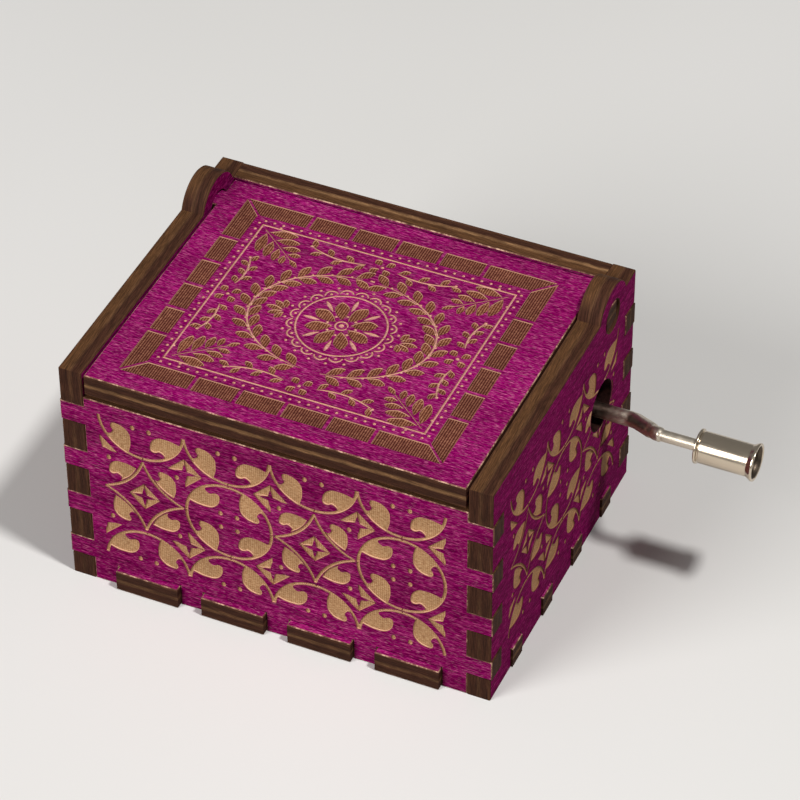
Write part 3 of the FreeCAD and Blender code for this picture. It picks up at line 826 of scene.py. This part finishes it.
def engrave(bm, axis, sign, layers, depth, slope):
    """Engraves the outlines into the panel's outer face: flat floors inside sloping walls.
    Each layer gives its floors' material and its outlines."""
    up = Vector((0, 0, 1)) if axis < 2 else Vector((0, 1, 0))
    outward = Vector((0, 0, 0))
    outward[axis] = sign
    across = up.cross(outward)
    outer, loops = open_outer_face(bm, outward)
    rims, rim_verts = [], []
    for loop in loops:
        rim = [(vert.co.dot(across) / MM, vert.co.dot(up) / MM) for vert in loop]
        if signed_area(rim) < 0:
            rim, loop = rim[::-1], loop[::-1]
        rims.append(rim)
        rim_verts += loop

    outlines = outlines_of_cuts(rims, layers, slope)
    points, runs = [], []
    for _, ring in outlines:
        runs.append(list(range(len(points), len(points) + len(ring))))
        points += [Vector(point) for point in ring]
    verts, _, triangles, points_of_vert, _, outlines_round = delaunay_2d_cdt(
        points, [], runs, 0, SAME_POINT, True)
    faces = [(kind_of({outlines[number][0] for number in around}), triangle)
             for around, triangle in zip(outlines_round, triangles)]
    at_top = {number for kind, triangle in faces if kind == FACE for number in triangle}
    made = {}
    for number, from_points in enumerate(points_of_vert):
        on_rim = [point for point in from_points if point < len(rim_verts)]
        if on_rim:
            made[number] = rim_verts[on_rim[0]]

    def vertex(number):
        if number not in made:
            height = outer if number in at_top else outer - depth * MM
            u, v = verts[number]
            made[number] = bm.verts.new(across * u * MM + up * v * MM + outward * height)
        return made[number]

    for kind, triangle in faces:
        if kind is not None:
            face = bm.faces.new([vertex(number) for number in triangle])
            face.material_index = kind


def panel(node, axis, sign, body, engraving=None, floor=SCROLL_FLOOR, bare=0.5):
    """A plywood panel of the case: chamfered along its cuts, and engraved on its outer face.
    The engraving gives its layers, its depth and the width of its slopes, and bare is how
    pale the core ply shows along the cuts."""
    bm = welded(node)
    chamfer_cut_edges(bm, axis)
    if engraving:
        engrave(bm, axis, sign, *engraving)
    bmesh.ops.recalc_face_normals(bm, faces=bm.faces)
    on_side = axis == 0
    # The side panels take the darker copies of the walls and rim: painted shade.
    wall, rim = SHADED_SIDE_CUTS if on_side else LIT_FACE_CUTS
    mesh = plain_mesh(bm, node, [STAINED[on_side], floor, LEAF_FLOOR, LINE_FLOOR, wall,
                                BURNT_EDGE, rim])
    low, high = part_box(node)
    outer = (high if sign > 0 else low)[axis]
    depth = (engraving[1] if engraving else 1.0) * MM
    across_ply = [(vert.co[axis] - low[axis]) / (high[axis] - low[axis])
                  for vert in mesh.vertices]
    below_face = [min(abs(vert.co[axis] - outer) / depth, 1.0) for vert in mesh.vertices]
    crest = high.z - 2 * ARRIS * MM
    bareness = [bare if axis != 1 or vert.co.z > crest else bare * FINGER_BARE
                for vert in mesh.vertices]
    for name, values in (("ply", across_ply), ("sunk", below_face), ("bare", bareness)):
        mesh.attributes.new(name, "FLOAT", "POINT").data.foreach_set("value", values)
    for face in mesh.polygons:
        face.use_smooth = face.material_index == EDGE
    mesh.set_sharp_from_angle(angle=CREASE)
    return add_piece(mesh, node, body, smooth=False)


def shade_bore_wall(piece, centre, radius):
    """Paints the wall of the round hole about an axis along X through centre near black: painted
    shade.
    """
    piece.data.materials.append(BURNT_SHADED_BORE)
    for face in piece.data.polygons:
        to_face = face.center - centre
        if face.material_index in (EDGE, RIM) and math.hypot(to_face.y, to_face.z) < radius:
            face.material_index = BORE


def add_object(name, data):
    made = bpy.data.objects.new(name, data)
    bpy.context.scene.collection.objects.link(made)
    return made


def add_piece(mesh, node, body, smooth=True):
    """Puts a finished mesh in the scene in place of the CAD node it stands for."""
    if smooth:
        mesh.shade_smooth()
        mesh.set_sharp_from_angle(angle=CREASE)
    piece = add_object(node + "_finish", mesh)
    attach(piece, body)
    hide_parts(node)
    return piece


def build_case():
    front = ([(FLOOR, scroll_lattice(4, *FRONT_CENTRE))], *FRONT_CUT)
    panel("front_panel", 1, -1, "case", front)
    panel("back_panel", 1, 1, "case", front, bare=1.0)
    side_u, side_v = SIDE_CENTRE
    for node, sign in (("right_panel", 1), ("left_panel", -1)):
        lattice = scroll_lattice(3, sign * side_u, side_v)
        side = panel(node, 0, sign, "case", ([(FLOOR, lattice)], *SIDE_CUT), bare=0.15)
        if node == "right_panel":
            # The inside of the crank's hole is painted near black: painted shade.
            shade_bore_wall(side, joint_place("crank_spin"), CRANK_HOLE_REACH * MM)
    panel("bottom_panel", 2, -1, "case")
    low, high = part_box("lid_panel")
    middle_v = (low.y + high.y) / 2 / MM
    blocks, border_lines = lid_border(LID_CENTRE_U, middle_v)
    leaves, picture_lines = lid_picture(LID_CENTRE_U, middle_v)
    layers = [(FLOOR, blocks), (LEAF, leaves), (LINE, border_lines + picture_lines)]
    panel("lid_panel", 2, 1, "lid", (layers, *LID_CUT), LID_FLOOR, bare=0.9)


# ---- the crank ----
def join_rings(bm, rings):
    """Faces between rings of vertices that follow each other. A ring can be one vertex."""
    steps = max(len(ring) for ring in rings)
    for first, second in zip(rings, rings[1:]):
        for i in range(steps):
            corners = [first[i % len(first)], first[(i + 1) % len(first)],
                       second[(i + 1) % len(second)], second[i % len(second)]]
            bm.faces.new(list(dict.fromkeys(corners)))
    bmesh.ops.recalc_face_normals(bm, faces=bm.faces)


def lathe(bm, profile, centre, steps):
    """Adds a solid of revolution about the X axis through centre, from (along, radius) points
    that end where they start or on the axis."""
    rings = []
    closed = profile[0] == profile[-1]
    for along, radius in profile[:-1] if closed else profile:
        rings.append([bm.verts.new(centre + MM * Vector((along, radius * cosine, radius * sine)))
                      for cosine, sine in circle(steps if radius else 1)])
    join_rings(bm, rings + rings[:1] if closed else rings)


def joint_place(name):
    return next(Vector(joint["pos_m"]) for joint in frame["joints"] if joint["name"] == name)


def rounded(profile, radius, steps=4):
    """Profile with its corners rounded, by less where they are close. Its two ends stay."""
    drawn = [profile[0]]
    corners = [Vector(point) for point in profile]
    for before, corner, after in zip(corners, corners[1:], corners[2:]):
        to_before, to_after = before - corner, after - corner
        reach = min(radius, CORNER_SHARE * to_before.length, CORNER_SHARE * to_after.length)
        start = corner + to_before.normalized() * reach
        end = corner + to_after.normalized() * reach
        for step in range(steps + 1):
            t = step / steps
            drawn.append(tuple(start * (1 - t) ** 2 + corner * 2 * t * (1 - t) + end * t * t))
    return drawn + [profile[-1]]


def build_knob():
    """Turned barrel with a bead at its inner end and a flared lip round the recess."""
    low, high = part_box("crank_knob")
    centre = joint_place("knob_spin")
    inner, outer = (low.x - centre.x) / MM, (high.x - centre.x) / MM
    floor = outer - KNOB_FAR[-1][0]
    profile = [(inner, KNOB_BORE)] + [(inner + along, radius) for along, radius in KNOB_NEAR]
    profile += [(outer - along, radius) for along, radius in KNOB_FAR]
    profile += [(floor, KNOB_BORE), (inner, KNOB_BORE)]
    bm = bmesh.new()
    lathe(bm, rounded(profile, KNOB_ROUNDING), centre, 96)
    # Faces inside the recess take the darker nickel: painted shade.
    for face in bm.faces:
        middle = (face.calc_center_median() - centre) / MM
        if middle.x > floor - RECESS_SHADE_START and math.hypot(middle.y, middle.z) < KNOB_R:
            face.material_index = 1
    mesh = plain_mesh(bm, "crank_knob", [KNOB_METAL, RECESS_SHADE_METAL])
    add_piece(mesh, "crank_knob", "knob")


def bent_path(points, radius, steps=14):
    """Points along straight runs joined by tangent arcs."""
    drawn = [points[0]]
    for before, corner, after in zip(points, points[1:], points[2:]):
        arriving, leaving = (corner - before).normalized(), (after - corner).normalized()
        turn = arriving.angle(leaving)
        reach = radius * math.tan(turn / 2)
        centre = corner + (leaving - arriving).normalized() * radius / math.cos(turn / 2)
        start = corner - arriving * reach - centre
        axis = arriving.cross(leaving).normalized()
        for step in range(steps + 1):
            drawn.append(centre + Matrix.Rotation(turn * step / steps, 3, axis) @ start)
    return drawn + [points[-1]]


def tube(bm, path, radii, steps=40):
    """Adds a solid round rod along a path that lies in one plane, with a radius at each point."""
    side = max(((b - a).cross(c - b) for a, b, c in zip(path, path[1:], path[2:])),
               key=lambda normal: normal.length).normalized()
    rings = []
    for i, (point, radius) in enumerate(zip(path, radii)):
        ahead = (path[min(i + 1, len(path) - 1)] - path[max(i - 1, 0)]).normalized()
        up = ahead.cross(side)
        rings.append([bm.verts.new(point + (side * cosine + up * sine) * radius)
                      for cosine, sine in circle(steps)])
    bm.faces.new(rings[0][::-1])
    bm.faces.new(rings[-1])
    join_rings(bm, rings)


def subdivided(path, step):
    """The path with points added so that none are farther apart than step."""
    drawn = []
    for a, b in zip(path, path[1:]):
        count = math.ceil((b - a).length / step)
        drawn += [a.lerp(b, i / count) for i in range(count)]
    return drawn + [path[-1]]


def rod_radius(past):
    """The rod's radius, smoothed between the places of its profile, in mm."""
    for (start, first), (end, second) in zip(ROD_PROFILE, ROD_PROFILE[1:]):
        if past <= end:
            share = max(past - start, 0) / (end - start)
            return first + (second - first) * (3 - 2 * share) * share * share
    return ROD_PROFILE[-1][1]


def build_rod():
    low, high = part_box("crank_rod")
    start, knob = joint_place("crank_spin"), joint_place("knob_spin")
    first_bend = start + Vector((ROD_FIRST * MM, 0, 0))
    second_bend = Vector((first_bend.x + ROD_SLANT * MM, knob.y, knob.z))
    bends = bent_path([start, first_bend, second_bend, knob], ROD_BEND_R * MM)
    path = subdivided([Vector((low.x, start.y, start.z))] + bends, ROD_STEP * MM)
    bm = bmesh.new()
    tube(bm, path, [rod_radius((point.x - second_bend.x) / MM) * MM for point in path])
    web_end = (high.x - knob.x) / MM - RIVET_HEAD[-1][0]
    rivet = [(0, 0), (0, JOURNAL_R), (web_end, JOURNAL_R)]
    rivet += [(web_end + along, radius) for along, radius in RIVET_HEAD]
    lathe(bm, rivet, knob, 48)
    add_piece(plain_mesh(bm, "crank_rod", [ROD_METAL]), "crank_rod", "crank")


# ---- the movement ----
# Name, display colour, roughness, axis of the grain, and the CAD pieces that have it.
MOVEMENT_METALS = (
    ("cast_zinc", (176, 174, 168), 0.42, None, ["bedplate"]),
    ("blued_steel", (150, 152, 156), 0.3, 0, ["comb", "drum_arbor"]),
    ("screw_steel", (190, 188, 182), 0.28, None,
     ["mounting_screws", "comb_screws", "bracket_screw"]),
    ("bracket_strip", (186, 184, 180), 0.32, 2, ["worm_bracket"]),
    ("turned_brass", (206, 172, 104), 0.26, 1,
     ["pinned_drum", "drum_cap_front", "drum_cap_rear"]),
    ("gear_brass", (198, 160, 88), 0.3, None, ["worm_wheel", "crank_worm"]),
    ("solder", (120, 120, 124), 0.6, None, ["comb_weights"]))


def dress_movement():
    """Metals on the CAD pieces that the scene carries over."""
    for name, tone, roughness, grain_axis, nodes in MOVEMENT_METALS:
        material = metal(name, tone, roughness, grain_axis)
        for mesh in (frame["nodes"][node].data for node in nodes):
            mesh.materials.clear()
            mesh.materials.append(material)
            mesh.shade_smooth()
            mesh.set_sharp_from_angle(angle=CREASE)


# ---- studio ----
LIGHT_TARGET = Vector((0, 0, 0.02))
WORLD_LIGHT, WORLD_SEEN = 0.12, 0.25         # its strength as light, and as seen or mirrored


def build_floor():
    mesh = bpy.data.meshes.new("floor")
    reach = 3.0
    corners = [(-reach, -reach, 0), (reach, -reach, 0), (reach, reach, 0), (-reach, reach, 0)]
    mesh.from_pydata(corners, [], [(0, 1, 2, 3)])
    mesh.materials.append(floor_paint())
    floor = add_object("floor", mesh)


def direction(azimuth, elevation):
    """Unit vector towards a place round the object. Azimuth 0 is in front, 90 on the right."""
    a, e = math.radians(azimuth), math.radians(elevation)
    return Vector((math.sin(a) * math.cos(e), -math.cos(a) * math.cos(e), math.sin(e)))


def softbox(name, azimuth, elevation, distance, size, power):
    light = bpy.data.lights.new(name, "AREA")
    light.shape = "DISK"
    light.size = size
    light.energy = power
    lamp = add_object(name, light)
    towards = direction(azimuth, elevation)
    lamp.location = LIGHT_TARGET + towards * distance
    lamp.rotation_euler = towards.to_track_quat("Z", "Y").to_euler()


def build_lights():
    softbox("key", 73, 65, distance=0.9, size=0.09, power=5.3)
    softbox("fill", -30, 30, distance=1.2, size=0.7, power=10.4)
    world = bpy.data.worlds.new("studio")
    bpy.context.scene.world = world
    world.use_nodes = True
    tree = world.node_tree
    background = tree.nodes["Background"]
    background.inputs["Color"].default_value = grey(0.9)
    path = add_node(tree, "LightPath").outputs
    seen = add_node(tree, "Math", {0: path["Is Glossy Ray"], 1: path["Is Camera Ray"]},
                    operation="MAXIMUM").outputs[0]
    strength = add_node(tree, "MapRange", {"Value": seen, "To Min": WORLD_LIGHT,
                                           "To Max": WORLD_SEEN}).outputs[0]
    tree.links.new(strength, background.inputs["Strength"])


def build_camera():
    """Camera at the photographed angle, from a fit to the corners of the case."""
    azimuth, elevation, roll = 24.21, 41.27, -0.305
    target = Vector((5.467, 4.07, 21.674)) * MM
    distance = 543.04 * MM
    camera = bpy.data.cameras.new("camera")
    camera.sensor_width = 36.0
    camera.lens = 174.23
    camera.clip_start = 0.01
    holder = add_object("camera", camera)
    back = direction(azimuth, elevation)
    holder.rotation_mode = "QUATERNION"
    aim = back.to_track_quat("Z", "Y").to_matrix() @ Matrix.Rotation(math.radians(roll), 3, "Z")
    holder.rotation_quaternion = aim.to_quaternion()
    holder.location = target + back * distance
    bpy.context.scene.camera = holder


bpy.context.scene.view_settings.view_transform = "Standard"
build_case()
build_rod()
build_knob()
dress_movement()
build_floor()
build_lights()
build_camera()
